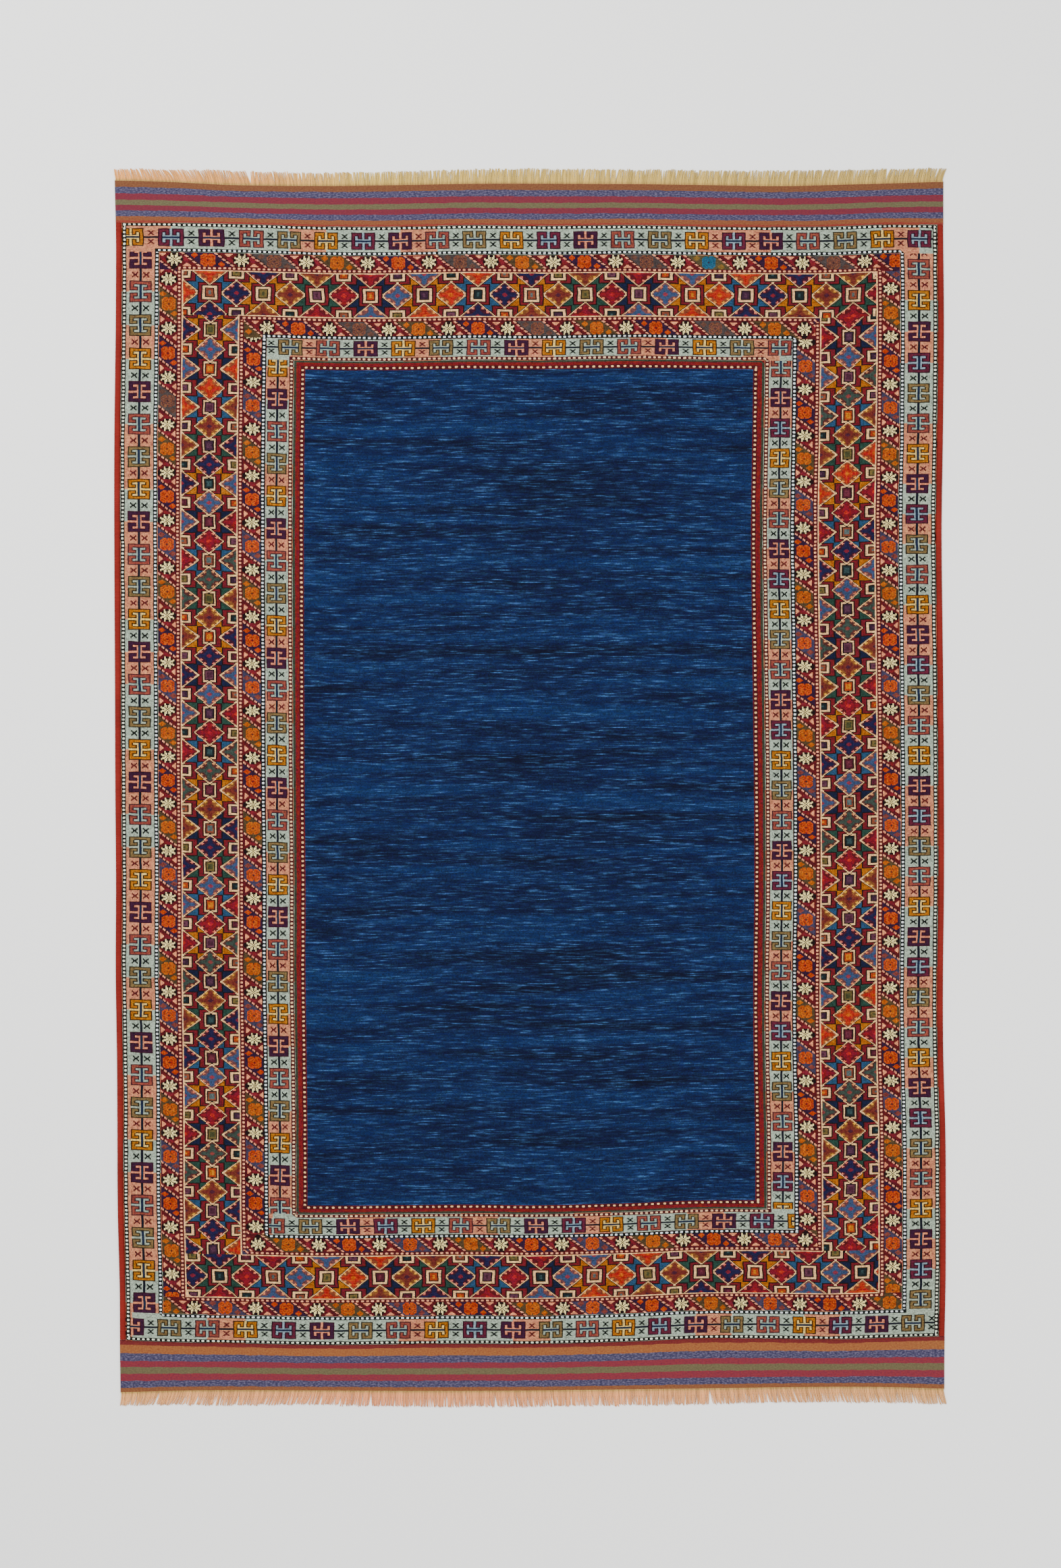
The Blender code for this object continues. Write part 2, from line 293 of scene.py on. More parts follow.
def pile_ring(name, outer, inner, material, fineness=5.0):
    """One band of the pile, from one inset to another in knots, as a closed ring.

    Its map "Knots" gives each corner's place along its side of the ring and in from the
    ring's edge, counted so that the slant runs one way all round. The map "Lines" has the
    distance from the nearest edge instead, so that a line drawn with it turns at a corner.
    """
    def lines(total):
        """Grid lines across the whole ring: close over the band, wider between."""
        steps = max(2, int(np.ceil((inner - outer) / fineness)) + 1)
        band = np.linspace(outer, inner, steps)
        if outer == 0:
            band = np.unique(np.concatenate([band, [1.0, 2.0]]))
        middle = np.linspace(inner, total - inner, int((total - 2 * inner) / 6) + 1)
        return np.unique(np.concatenate([band, middle, total - band]).round(4))

    i, j = np.meshgrid(lines(KNOTS_ACROSS), lines(KNOTS_DOWN))
    x, y = pile_place(i, j)
    mid_i, mid_j = 0.5 * (i[:-1, :-1] + i[1:, 1:]), 0.5 * (j[:-1, :-1] + j[1:, 1:])
    top, bottom = mid_j < inner, mid_j > KNOTS_DOWN - inner
    left, right = mid_i < inner, mid_i > KNOTS_ACROSS - inner
    keep = top | bottom | left | right
    piece, corners, cells = slab(name, x, y, pile_height(i, j, x, y),
                                 np.full_like(x, FOUNDATION_THICKNESS), keep, material)
    side = np.select([top, bottom, left], [0, 1, 2], 3).ravel()[cells][:, None]
    ci, cj = i.ravel()[corners], j.ravel()[corners]
    along = np.choose(side, [ci, KNOTS_ACROSS - ci, cj, KNOTS_DOWN - cj])
    inward = np.choose(side, [cj, KNOTS_DOWN - cj, ci, KNOTS_ACROSS - ci])
    give_map(piece, "Knots", np.stack([along, inward - outer], -1))
    from_side, from_end = np.minimum(ci, KNOTS_ACROSS - ci), np.minimum(cj, KNOTS_DOWN - cj)
    nearer_side = (from_side < from_end).mean(1, keepdims=True) > 0.5
    give_map(piece, "Lines", np.stack([np.where(nearer_side, cj, ci),
                                       np.minimum(from_side, from_end) - outer], -1))
    return piece, along, inward - outer, side


SIDE_REPEATS = 60
SIDE_MARGIN = 10


def chart_map(piece, ring, period, places):
    """Give a band the map its charts count in: the same knots for every repeat of a motif.

    For each side, top, bottom, left and right, places pair knots along it with repeats,
    because the knotter fitted them by eye. Each side's count starts SIDE_REPEATS later.
    """
    along, inward, side = ring
    chart_along = np.zeros_like(along)
    for number, stops in enumerate(places):
        at, repeat = np.array(stops, float).T
        slope = (repeat[-1] - repeat[0]) / (at[-1] - at[0])
        beyond = np.minimum(along - at[0], 0.0) + np.maximum(along - at[-1], 0.0)
        fitted = np.interp(along, at, repeat) + slope * beyond + SIDE_REPEATS * number
        chart_along = np.where(side == number, period * fitted, chart_along)
    give_map(piece, "Chart", np.stack([chart_along, inward], -1))


def finish_pile(tree, output, colour, knots, strength=1.0):
    """Cut wool over any colours: every knot a shade of its own, a fibre's grain and a soft lump.

    The knots are 3 mm by 2.3 mm, which is the grid of the map, and the yarn's grain is
    drawn at a third of a knot.
    """
    snapped = add_node(tree, "ShaderNodeVectorMath", (knots,), operation="FLOOR")
    shade = add_node(tree, "ShaderNodeTexWhiteNoise", {"Vector": snapped})
    grain = add_node(tree, "ShaderNodeTexNoise", {"Vector": knots, "Scale": 1.4, "Detail": 3.0})
    wear = add_node(tree, "ShaderNodeTexNoise", {"Vector": knots, "Scale": 0.025, "Detail": 2.0})
    rows = add_node(tree, "ShaderNodeVectorMath", (knots, (0.16, 0.62, 1.0)), operation="MULTIPLY")
    rows = add_node(tree, "ShaderNodeTexNoise", {"Vector": rows, "Scale": 1.0, "Detail": 3.0})
    value = add_node(tree, "ShaderNodeMath", (shade, 0.5 * strength, 0.6 - 0.1 * strength),
                     operation="MULTIPLY_ADD")
    value = add_node(tree, "ShaderNodeMath", (grain, 0.5, value), operation="MULTIPLY_ADD")
    value = add_node(tree, "ShaderNodeMath", (rows, 0.7 * strength, value), operation="MULTIPLY_ADD")
    value = add_node(tree, "ShaderNodeMath", (wear, 0.3, value), operation="MULTIPLY_ADD")
    value = add_node(tree, "ShaderNodeMath", (value, 0.27 + 0.5 * strength), operation="SUBTRACT")
    hue = add_node(tree, "ShaderNodeMath", (rows, 0.06 * strength, 0.5 - 0.03 * strength),
                   operation="MULTIPLY_ADD")
    dyed = add_node(tree, "ShaderNodeHueSaturation", {"Hue": hue, "Value": value, "Color": colour})
    split = add_node(tree, "ShaderNodeSeparateXYZ", (knots,)).node
    ridges = []
    for axis in (0, 1):
        turn = add_node(tree, "ShaderNodeMath", (split.outputs[axis], np.pi), operation="MULTIPLY")
        wave = add_node(tree, "ShaderNodeMath", (turn,), operation="SINE")
        ridges.append(add_node(tree, "ShaderNodeMath", (wave,), operation="ABSOLUTE"))
    tuft = add_node(tree, "ShaderNodeMath", tuple(ridges), operation="MULTIPLY")
    height = add_node(tree, "ShaderNodeMath", (grain, 1.5, tuft), operation="MULTIPLY_ADD")
    bump = add_node(tree, "ShaderNodeBump", {"Height": height, "Strength": 0.5, "Distance": 0.0008})
    shader = add_node(tree, "ShaderNodeBsdfPrincipled",
                      {"Base Color": dyed, "Roughness": 0.92, "Normal": bump, "Specular IOR Level": 0.12})
    tree.links.new(shader, output.inputs["Surface"])


def hand_wander(tree, knots, amount=0.45):
    """The map with a knotter's wander in it: shifted by up to a knot, over a dozen knots."""
    drift = add_node(tree, "ShaderNodeTexNoise", {"Vector": knots, "Scale": 0.09, "Detail": 1.0})
    drift = drift.node.outputs["Color"]
    centred = add_node(tree, "ShaderNodeVectorMath", (drift, (0.5, 0.5, 0.5)), operation="SUBTRACT")
    spread = add_node(tree, "ShaderNodeVectorMath", (centred, (4.0 * amount, 2.4 * amount, 0.0)),
                      operation="MULTIPLY")
    return add_node(tree, "ShaderNodeVectorMath", (knots, spread), operation="ADD")


CHART_CODES = 32


def read_chart(tree, chart, column, row):
    """The letter of a chart at a column and row, as its number over CHART_CODES.

    Each line of letters is one stepped ramp, and the row picks which of them counts.
    """
    width = len(chart[0])
    share = add_node(tree, "ShaderNodeMath", (column, 1.0 / width, 0.5 / width), operation="MULTIPLY_ADD")
    total = 0.0
    for number, letters in enumerate(chart):
        stops = [(k / width, (ord(letters[k]) - 64) / CHART_CODES) for k in range(width)
                 if k == 0 or letters[k] != letters[k - 1]]
        ramp = add_node(tree, "ShaderNodeValToRGB", (share,), stops=stops)
        here = add_node(tree, "ShaderNodeMath", (row, float(number), 0.5), operation="COMPARE")
        total = add_node(tree, "ShaderNodeMath", (ramp, here, total), operation="MULTIPLY_ADD")
    return total


def colour_letter(tree, colour, letter_value, letter, wool):
    """Knot one letter of a chart in its wool over the colour so far."""
    here = add_node(tree, "ShaderNodeMath",
                    (letter_value, (ord(letter) - 64) / CHART_CODES, 0.5 / CHART_CODES),
                    operation="COMPARE")
    return add_node(tree, "ShaderNodeMix", (here, colour, wool), data_type="RGBA")


def in_order(tree, number, orders):
    """The dye letter of a numbered motif, read from its side's own order over and over.

    The orders are of the top, bottom, left and right, and the letter is given as in read_chart.
    """
    side = add_node(tree, "ShaderNodeMath", (number, 1.0 / SIDE_REPEATS, SIDE_MARGIN / SIDE_REPEATS),
                    operation="MULTIPLY_ADD")
    side = add_node(tree, "ShaderNodeMath", (side,), operation="FLOOR")
    local = add_node(tree, "ShaderNodeMath", (side, -float(SIDE_REPEATS), number), operation="MULTIPLY_ADD")
    total = 0.0
    for place, order in enumerate(orders):
        count = len(order)
        turn = add_node(tree, "ShaderNodeMath", (local, 1.0 / count, 0.5 / count), operation="MULTIPLY_ADD")
        turn = add_node(tree, "ShaderNodeMath", (turn,), operation="FRACT")
        stops = [(k / count, (ord(letter) - 64) / CHART_CODES) for k, letter in enumerate(order)]
        ramp = add_node(tree, "ShaderNodeValToRGB", (turn,), stops=stops)
        here = add_node(tree, "ShaderNodeMath", (side, float(place), 0.5), operation="COMPARE")
        total = add_node(tree, "ShaderNodeMath", (ramp, here, total), operation="MULTIPLY_ADD")
    return total


def dyed(tree, letter, wools):
    """The wool that goes with a dye letter."""
    stops = [((ord(name) - 64.5) / CHART_CODES, wools[name]) for name in sorted(wools)]
    return add_node(tree, "ShaderNodeValToRGB", (letter,), stops=stops)


def folded(tree, value, period):
    """A whole number folded about zero: 0, 1, 2 and back, once each period."""
    half = 0.5 * (period - 1)
    wrapped = add_node(tree, "ShaderNodeMath", (value, float(period)), operation="FLOORED_MODULO")
    centred = add_node(tree, "ShaderNodeMath", (wrapped, half), operation="SUBTRACT")
    away = add_node(tree, "ShaderNodeMath", (centred,), operation="ABSOLUTE")
    return add_node(tree, "ShaderNodeMath", (half, away), operation="SUBTRACT")


def between(tree, value, low, high):
    """1 where low <= value < high, and 0 elsewhere."""
    above = add_node(tree, "ShaderNodeMath", (value, low - 1e-4), operation="GREATER_THAN")
    below = add_node(tree, "ShaderNodeMath", (value, high - 1e-4), operation="LESS_THAN")
    return add_node(tree, "ShaderNodeMath", (above, below), operation="MULTIPLY")


def dotted_guard(tree, colour, lines, start, light, dark, pitch=4.0):
    """A guard line over the colour so far: dark, with a light dot of two knots each pitch."""
    along, inward = lines
    band = between(tree, inward, start + 0.3, start + 3.7)
    dash = add_node(tree, "ShaderNodeMath", (along, 1.0 / pitch), operation="MULTIPLY")
    dash = add_node(tree, "ShaderNodeMath", (dash,), operation="FRACT")
    dash = add_node(tree, "ShaderNodeMath", (dash, 0.5), operation="SUBTRACT")
    dash = add_node(tree, "ShaderNodeMath", (dash, pitch / 1.15), operation="MULTIPLY")
    away = add_node(tree, "ShaderNodeMath", (inward, -start - 2.0), operation="ADD")
    dot = [add_node(tree, "ShaderNodeMath", (way, 4.0), operation="POWER") for way in (
        add_node(tree, "ShaderNodeMath", (dash,), operation="ABSOLUTE"),
        add_node(tree, "ShaderNodeMath", (away,), operation="ABSOLUTE"))]
    far = add_node(tree, "ShaderNodeMath", tuple(dot), operation="ADD")
    lit = add_node(tree, "ShaderNodeMath", (far, 0.8), operation="LESS_THAN")
    guard = add_node(tree, "ShaderNodeMix", (lit, dark, light), data_type="RGBA")
    return add_node(tree, "ShaderNodeMix", (band, colour, guard), data_type="RGBA")


def place_pile(piece):
    """Every band of pile belongs to the rug's one cloth."""
    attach(piece, "root")
    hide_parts("rug_body")


CREAM, BLACK_BROWN = "efd47f", "0f0c0b"

# Outer and inner hook bands: H-shaped hooks in one wool each on a light ground, with dice
# between them and a navy bar along the middle. Each is knotted between dotted guard lines.
HOOK_CHART = (
    "LDDDDDDDDDDGGGGGG",
    "LDMMMMMMMMDGGGGGG",
    "LDMMMMMMMMDGGGXXG",
    "LDMMDDDMMMDGGGGXX",
    "LDMMDLLDMMDGGGGGX",
    "LDMMDLLDMMDGGGGXX",
    "LDDDDLLDMMDGGGXXG",
    "LLLLLLLDMMDGGGGGG",
    "NNNNNNNDMMDKKKKKK",
)
HOOK_PERIOD = 34
HOOK_KNOTS = 18
HOOK_WOOL = {"A": "9e5c02", "P": "32102a", "S": "7f3a2f", "T": "6e5834", "W": "54172a"}
HOOK_OUTLINE = {"A": "2a1508", "P": "2f091b", "S": "36161d", "T": "211b0f", "W": "260919"}
HOOK_INSIDE = {"A": "d9b561", "P": "cb7b59", "S": "889a8c", "T": "929c89", "W": "7b8f9a"}
DICE_GROUND = {"C": "bd7857", "Q": "97a492"}
DICE_SPOT = {"C": "4b1416", "Q": "0c0f0d"}


def hook_band(tree, along, inward, start, knots, hooks, dice):
    """Hooks in their band: the chart mirrored about each hook's middle and about its bar.
    Hooks and dice are the orders of dyes on the four sides."""
    column = folded(tree, add_node(tree, "ShaderNodeMath", (along,), operation="FLOOR"), HOOK_PERIOD)
    scale = HOOK_KNOTS / knots
    depth = add_node(tree, "ShaderNodeMath", (inward, scale, -start * scale), operation="MULTIPLY_ADD")
    row = folded(tree, add_node(tree, "ShaderNodeMath", (depth,), operation="FLOOR"), HOOK_KNOTS)
    letter = read_chart(tree, HOOK_CHART, column, row)
    hook = add_node(tree, "ShaderNodeMath", (along, 1.0 / HOOK_PERIOD, 0.5), operation="MULTIPLY_ADD")
    hook = in_order(tree, add_node(tree, "ShaderNodeMath", (hook,), operation="FLOOR"), hooks)
    die = add_node(tree, "ShaderNodeMath", (along, float(HOOK_PERIOD)), operation="DIVIDE")
    die = in_order(tree, add_node(tree, "ShaderNodeMath", (die,), operation="FLOOR"), dice)
    band = dyed(tree, die, DICE_GROUND)
    ground = band
    for name, wool in (("L", dyed(tree, hook, HOOK_INSIDE)), ("M", dyed(tree, hook, HOOK_WOOL)),
                       ("D", dyed(tree, hook, HOOK_OUTLINE)), ("N", "162037"), ("K", "0e101c"),
                       ("X", dyed(tree, die, DICE_SPOT))):
        band = colour_letter(tree, band, letter, name, wool)
    zone = between(tree, inward, float(start), float(start + knots))
    return add_node(tree, "ShaderNodeMix", (zone, ground, band), data_type="RGBA")


def band_maps(tree):
    """A band's three maps: true knots as they are, then its guard lines' count and its
    charts' count of them, both wandering a little as a hand-knotted line does."""
    knots = add_node(tree, "ShaderNodeUVMap", uv_map="Knots")
    splits = []
    for name in ("Lines", "Chart"):
        counted = hand_wander(tree, add_node(tree, "ShaderNodeUVMap", uv_map=name))
        splits.append(add_node(tree, "ShaderNodeSeparateXYZ", (counted,)).node.outputs[:2])
    return knots, *splits


material, tree, output = new_material("knotted_wool_hook_band_outer")
knots, lines, chart_knots = band_maps(tree)
colour = hook_band(tree, *chart_knots, 6, 18, ("AWPST", "TPWAS", "PSTA", "TWPAS"),
                   ("CQQQCQQCQQQQQQQC", "QQCQQCQQ", "CQCQQCCQCC", "QCQCCQ"))
colour = dotted_guard(tree, colour, lines, 0, "e8efd3", BLACK_BROWN)
colour = dotted_guard(tree, colour, lines, 26, "e7efef", "0c100f")
finish_pile(tree, output, colour, knots)
piece, *ring = pile_ring("pile_hook_band_outer", 0, 30, material)
chart_map(piece, ring, HOOK_PERIOD, (
    ((7.0, 0), (104.2, 3), (637.7, 21)), ((20.8, 0), (310.6, 10), (617.2, 20)),
    ((36.3, 0), (1139.7, 32)), ((39.9, 0), (1134.0, 34))))
place_pile(piece)

# Outer and inner slanted bands: parallelograms parted by pale dashes, by turns a white
# eight-petalled star on maroon and a bright daisy on a dark ground.
STAR_CHART = ("AWWAAA", "WAWWWA", "AWAWWW", "AWWAAW", "AWWAAA", "AAWAAA", "AAWAAA")
DAISY_CHART = ("CRPPPR", "RPPPRP", "PPRPPP", "PRPPRP", "PPPRPP", "RPPPPA", "APPPAA")
SLANT_PERIOD = 50
SLANT_KNOTS = 14
DAISY_PETAL = {"B": "af4002", "C": "1d526a", "M": "a84c02", "O": "aa3d02", "R": "663c2b"}
DAISY_SHADE = {"B": "602b24", "C": "213b56", "M": "733618", "O": "761b14", "R": "402e30"}
DAISY_GROUND = {"B": "352f45", "C": "494028", "M": "44341f", "O": "290f2a", "R": "3f3635"}
DAISY_SIDE = {"B": "6c312a", "C": "6d5121", "M": "a04c02", "O": "a43502", "R": "54362c"}


def slanted_band(tree, along, inward, start, daisies):
    """Stars and daisies in cells whose sides slant a knot a row; daisies is their orders of
    dyes on the four sides."""
    half = SLANT_PERIOD // 2
    a = add_node(tree, "ShaderNodeMath", (along,), operation="FLOOR")
    c = add_node(tree, "ShaderNodeMath", (inward, float(start)), operation="SUBTRACT")
    c = add_node(tree, "ShaderNodeMath", (c,), operation="FLOOR")
    slant = add_node(tree, "ShaderNodeMath", (a, c), operation="SUBTRACT")
    place = add_node(tree, "ShaderNodeMath", (slant, float(half)), operation="FLOORED_MODULO")
    cell = add_node(tree, "ShaderNodeMath", (slant, float(half)), operation="DIVIDE")
    cell = add_node(tree, "ShaderNodeMath", (cell,), operation="FLOOR")
    dy = add_node(tree, "ShaderNodeMath", (c, 7.0), operation="SUBTRACT")
    dx = add_node(tree, "ShaderNodeMath", (place, 13.0), operation="SUBTRACT")
    dx = add_node(tree, "ShaderNodeMath", (dx, dy), operation="ADD")

    def away(value, centre):
        """How far a value is from a centre, either way."""
        apart = add_node(tree, "ShaderNodeMath", (value, -centre), operation="ADD")
        return add_node(tree, "ShaderNodeMath", (apart,), operation="ABSOLUTE")

    def near(x, y, slope, reach):
        """1 inside a lozenge about a point of the cell."""
        far = add_node(tree, "ShaderNodeMath", (away(dy, y), slope, away(dx, x)), operation="MULTIPLY_ADD")
        return add_node(tree, "ShaderNodeMath", (far, reach), operation="LESS_THAN")

    def over(base, mask, wool):
        """Knot a wool where a mask is 1."""
        return add_node(tree, "ShaderNodeMix", (mask, base, wool), data_type="RGBA")

    sideways = add_node(tree, "ShaderNodeMath", (along, SLANT_PERIOD * (2.0 * SIDE_REPEATS - SIDE_MARGIN)),
                        operation="GREATER_THAN")
    away_x, away_y = away(dx, 0.0), away(dy, 0.0)
    across = add_node(tree, "ShaderNodeMix", (sideways, away_x, away_y), data_type="FLOAT")
    down = add_node(tree, "ShaderNodeMix", (sideways, away_y, away_x), data_type="FLOAT")
    within_x = add_node(tree, "ShaderNodeMath", (across, 5.5), operation="LESS_THAN")
    within_y = add_node(tree, "ShaderNodeMath", (down, 6.5), operation="LESS_THAN")
    within = add_node(tree, "ShaderNodeMath", (within_x, within_y), operation="MULTIPLY")
    star = read_chart(tree, STAR_CHART, across, down)
    star = add_node(tree, "ShaderNodeMath", (star, within), operation="MULTIPLY")
    maroon = over("500f15", near(-9.0, 1.5, 0.6, 3.2), "66151f")
    maroon = over(maroon, near(9.0, -1.5, 0.6, 3.2), "6c1823")
    maroon = over(maroon, near(0.0, 0.0, 0.6, 6.9), "170809")
    for way in (-1.0, 1.0):
        rise = add_node(tree, "ShaderNodeMath", (dy, way, -4.0), operation="MULTIPLY_ADD")
        wide = add_node(tree, "ShaderNodeMath", (away(dx, 9.5 * way), rise), operation="SUBTRACT")
        wide = add_node(tree, "ShaderNodeMath", (wide, 0.6), operation="LESS_THAN")
        rows = between(tree, rise, 0.0, 3.0)
        wedge = add_node(tree, "ShaderNodeMath", (wide, rows), operation="MULTIPLY")
        maroon = over(maroon, wedge, "de885d")
    star_cell = colour_letter(tree, maroon, star, "W", "efd992")
    daisy = read_chart(tree, DAISY_CHART, across, down)
    daisy = add_node(tree, "ShaderNodeMath", (daisy, within), operation="MULTIPLY")
    number = add_node(tree, "ShaderNodeMath", (cell, 0.5), operation="MULTIPLY")
    number = add_node(tree, "ShaderNodeMath", (number,), operation="FLOOR")
    dye = in_order(tree, number, daisies)
    daisy_cell = dyed(tree, dye, DAISY_GROUND)
    for x, y in ((-10.0, -4.5), (10.0, 4.5)):
        daisy_cell = over(daisy_cell, near(x, y, 1.0, 2.6), dyed(tree, dye, DAISY_SIDE))
    for name, wool in (("P", dyed(tree, dye, DAISY_PETAL)), ("R", dyed(tree, dye, DAISY_SHADE)),
                       ("C", "370c0e")):
        daisy_cell = colour_letter(tree, daisy_cell, daisy, name, wool)
    odd = add_node(tree, "ShaderNodeMath", (cell, 2.0), operation="FLOORED_MODULO")
    band = over(star_cell, odd, daisy_cell)
    band = over(band, between(tree, place, 0.0, 3.0), "2b0b0e")
    dash = add_node(tree, "ShaderNodeMath", (c, 3.0), operation="FLOORED_MODULO")
    dash = add_node(tree, "ShaderNodeMath", (dash, 1.5), operation="LESS_THAN")
    line = between(tree, place, 0.0, 2.0)
    return over(band, add_node(tree, "ShaderNodeMath", (line, dash), operation="MULTIPLY"), "e28d69")


material, tree, output = new_material("knotted_wool_slanted_band_outer")
knots, lines, chart_knots = band_maps(tree)
colour = slanted_band(tree, *chart_knots, 0,
                      ("ORMORMORCORO", "OBM", "MORMOBMOBMOMBOMBOMBOMO", "BOM"))
colour = dotted_guard(tree, colour, lines, 14, "efa074", "480d13")
finish_pile(tree, output, colour, knots)
piece, *ring = pile_ring("pile_slanted_band_outer", 30, 48, material)
chart_map(piece, ring, SLANT_PERIOD, (
    ((41.3, 0.4), (95.3, 1.4), (147.2, 2.4), (245.0, 4.4), (593.3, 11.4)),
    ((63.6, 0.4), (300.7, 5.4), (596.5, 11.4)),
    ((57.2, 0.4), (410.7, 7.4), (1107.7, 21.4)), ((74.9, 0.4), (1113.1, 21.4))))
place_pile(piece)

# Main border: a lattice of white-framed squares in crimson brackets and of white-edged
# lozenges with stepped crosses, with coloured arms between them.
LATTICE = 22
SQUARE_RINGS = ((-1, "K"), (0, "W"), (2, "K"), (3, "B"), (5, "A"))
LATTICE_ENDS = {  # half sizes along and across the band: frame, bracket, lozenge; middle then edge
    "middle": (6, 7, 9, 10, 11.9, 12.9), "edge": (6, 7, 10, 10, 13.4, 13.8)}
LATTICE_SIDES = {
    "middle": (8, 5, 11, 9, 14.2, 11.2), "edge": (6, 7, 9, 11, 14.0, 13.0)}


def lattice_chart(sizes):
    """A quarter of the lattice's repeat, worked out knot by knot.

    Each corner of the quarter is a shape's middle: a square at the first and the last, a
    lozenge at the other two. A square is rings counted in from its half sizes, and a
    lozenge is rings of the sum of its shares, with two notches to an edge and a cross.
    """
    u, v = np.meshgrid(np.arange(LATTICE), np.arange(LATTICE))
    chart = np.full(u.shape, "T")
    for place, turn_u, turn_v in (("edge", False, False), ("middle", True, True)):
        du, dv = np.where(turn_u, LATTICE - 1 - u, u), np.where(turn_v, LATTICE - 1 - v, v)
        frame_u, frame_v, hold_u, hold_v, _, _ = sizes[place]
        chart = np.where((du <= hold_u) & (dv <= hold_v), "K", chart)
        chart = np.where((du < hold_u) & (dv < hold_v), "C", chart)
        thin = 0.7 if frame_u > frame_v else 1.0
        for step, letter in SQUARE_RINGS:
            inside = (du < max(frame_u - step, 1)) & (dv < max(frame_v - step * thin, 1))
            chart = np.where(inside, letter, chart)
    for place, turn_u, turn_v in (("edge", True, False), ("middle", False, True)):
        du, dv = np.where(turn_u, LATTICE - 1 - u, u), np.where(turn_v, LATTICE - 1 - v, v)
        long, wide = sizes[place][4:]
        p, q = 12.5 * du / long, 12.5 * dv / wide
        reach = p + q
        notch = (np.abs(p - 3.3) + np.abs(q - 6.8) <= 1.5) | (np.abs(p - 6.8) + np.abs(q - 3.3) <= 1.5)
        cross = (reach <= 6.2) | ((np.minimum(p, q) <= 1.2) & (reach <= 9.5))
        inside = np.select([reach <= 1.2, notch, cross, reach <= 11.4], ["R", "N", "P", "Q"], "W")
        chart = np.where(reach <= 13.5, "K", chart)
        chart = np.where(reach <= 12.6, inside, chart)
    return tuple("".join(line) for line in chart)


LOZENGES = (  # top, bottom, left and right: navy, blue, crimson, green, brown on cream, orange
    "NCRBO", "BRNCO", "NBOCNBRGCNBRGCNBRGCNBRGCNO", "RBNCGROBNCRGBNRCGBNROCGBR")
ARMS = ("UAGNA", "NUAGUANUGNAUG", "UANUGANUGANGUANGUANGUANGUAG", "NUAGNUAGNUAGNUAGNGAUAGUANG")
SQUARES = ("RGMOPK", "KMOWGR", "RGOMPKW", "GOMPKRW")
LOZENGE_MIDDLE = {"B": "30405f", "C": "60231b", "G": "303b34", "N": "181537", "O": "9b230f", "R": "710f1d"}
LOZENGE_GROUND = {"B": "5c3536", "C": "72411f", "G": "45211f", "N": "350d1f", "O": "76351f", "R": "4e0d15"}
LOZENGE_NOTCH = {"B": "c97049", "C": "dc9c20", "G": "c57f4f", "N": "c96654", "O": "d6862f", "R": "d1674b"}
LOZENGE_HEART = {"B": "7a2936", "C": "3f1527", "G": "712d2c", "N": "6c1828", "O": "af4c02", "R": "a21a16"}
ARM_WOOL = {"A": "985402", "G": "1e392f", "N": "0f1630", "U": "20405d"}
SQUARE_WOOL = {"G": "5e4e27", "K": "141e1f", "M": "522b3a", "O": "913112", "P": "32192b", "R": "733926",
               "W": "471421"}
SQUARE_HEART = {"G": "3b3c22", "K": "293d3e", "M": "3e1b2a", "O": "ae6402", "P": "462739", "R": "465251",
                "W": "59222f"}


